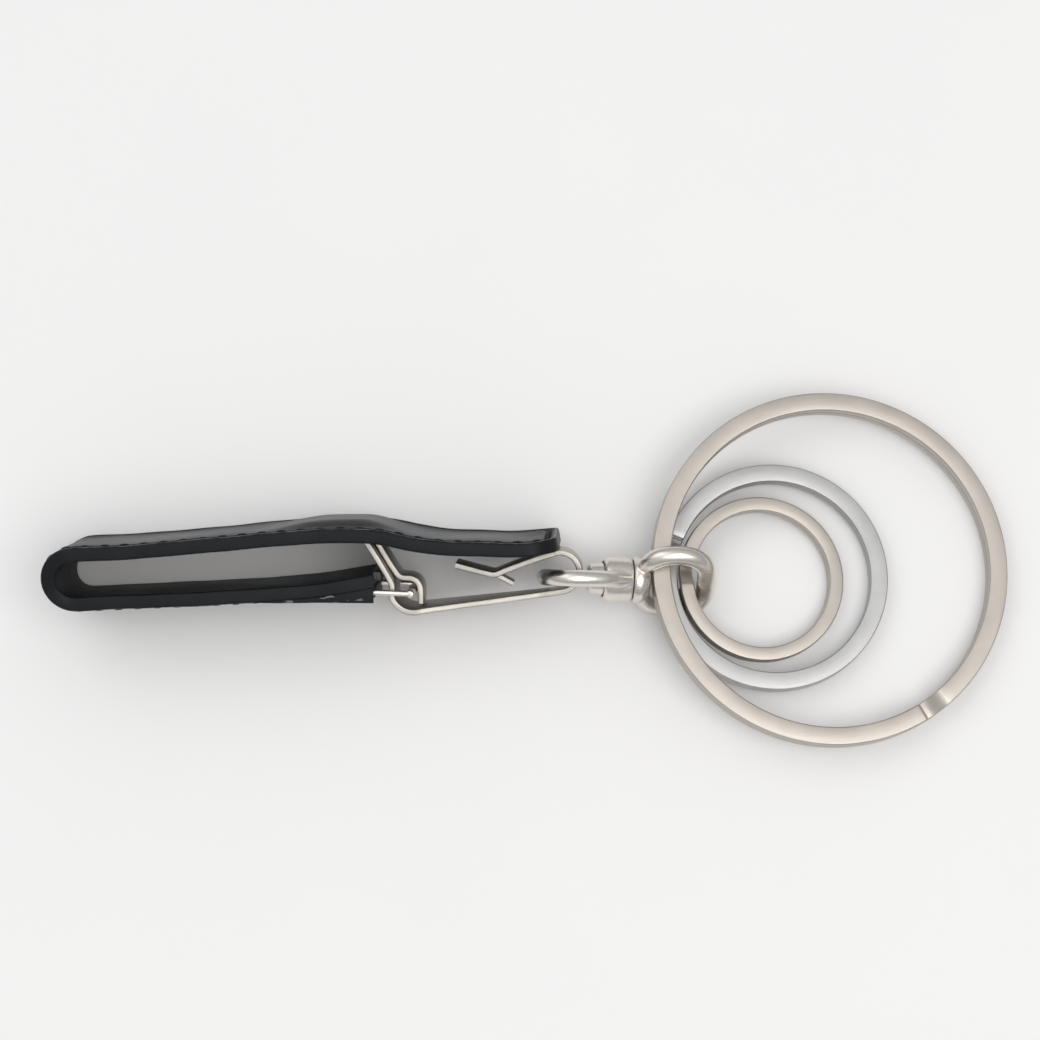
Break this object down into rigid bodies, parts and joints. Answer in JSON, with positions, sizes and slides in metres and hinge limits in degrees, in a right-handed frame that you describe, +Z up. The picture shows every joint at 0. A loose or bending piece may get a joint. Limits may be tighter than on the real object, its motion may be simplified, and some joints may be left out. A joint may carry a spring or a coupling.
{
  "type": "belt-loop key holder with split rings",
  "caption": "Stitched leather belt loop folded round a spring clip, with a swivel in the clip's hook and nested flat split rings threaded through the swivel's eye.",
  "frame": {"origin": "bottom centre of the whole object's box, on the table it lies on", "axes": "+X runs from the strap's fold along the strap to the split rings; +Z is up from the table; +Y is the side of the strap's upper leg"},
  "size_m": [0.1012, 0.038, 0.0155],
  "materials": {
    "strap_leather": "fine-grained, satin, with smooth painted cut edges",
    "seam_thread": "waxed twisted thread",
    "spring_steel": "satin, bright at the cut edges",
    "nickel": "satin nickel plate",
    "ring_steel": "cool satin nickel plate"
  },
  "bodies": {
    "strap": {"strap_outer": "strap_leather", "strap_lining": "strap_leather", "seam_thread_top": "seam_thread", "seam_thread_bottom": "seam_thread", "clip_body": "spring_steel", "latch_foot": "spring_steel"},
    "arm": {"clip_arm": "spring_steel"},
    "latch": {"latch_strip": "spring_steel"},
    "link": {"strap_link": "nickel"},
    "bail": {"swivel_bail": "nickel"},
    "eye": {"swivel_eye": "nickel", "swivel_pin": "nickel"},
    "large_ring": {"ring_large": "nickel"},
    "medium_ring": {"ring_medium": "ring_steel"},
    "small_ring": {"ring_small": "nickel"}
  },
  "joints": [
    {"name": "arm_flex", "type": "hinge", "parent": "strap", "child": "arm", "pos_m": [0.00276, 0.00108, 0.00739], "axis": [0, 0.3007, -0.9537], "range_deg": [-1, 4], "stiffness_Nm_per_rad": 0.02},
    {"name": "latch_flex", "type": "hinge", "parent": "strap", "child": "latch", "pos_m": [-0.01624, 0.0028, 0.00793], "axis": [0, -0.3007, 0.9537], "range_deg": [0, 8], "stiffness_Nm_per_rad": 0.02},
    {"name": "link_turn", "type": "hinge", "parent": "strap", "child": "link", "pos_m": [-0.01659, -0.00259, 0.00623], "axis": [0, -0.3007, 0.9537], "range_deg": [-8, 4]},
    {"name": "bail_turn", "type": "hinge", "parent": "strap", "child": "bail", "pos_m": [0.00168, -0.00162, 0.00704], "axis": [0.1463, -0.2079, 0.9671], "range_deg": [-30, 45]},
    {"name": "eye_spin", "type": "hinge", "parent": "bail", "child": "eye", "pos_m": [0.00168, -0.00162, 0.00704], "axis": [0.9888, 0, -0.1495], "continuous": true},
    {"name": "large_ring_swing", "type": "hinge", "parent": "eye", "child": "large_ring", "pos_m": [0.0129, 0.00001, 0.00672], "axis": [0, -1, 0], "range_deg": [0, 30]},
    {"name": "medium_ring_turn", "type": "hinge", "parent": "eye", "child": "medium_ring", "pos_m": [0.02577, -0.00069, 0.0022], "axis": [0.1019, 0, 0.9948], "continuous": true},
    {"name": "small_ring_turn", "type": "hinge", "parent": "eye", "child": "small_ring", "pos_m": [0.02439, -0.00094, 0.00239], "axis": [0.1771, 0, 0.9842], "continuous": true}
  ]
}
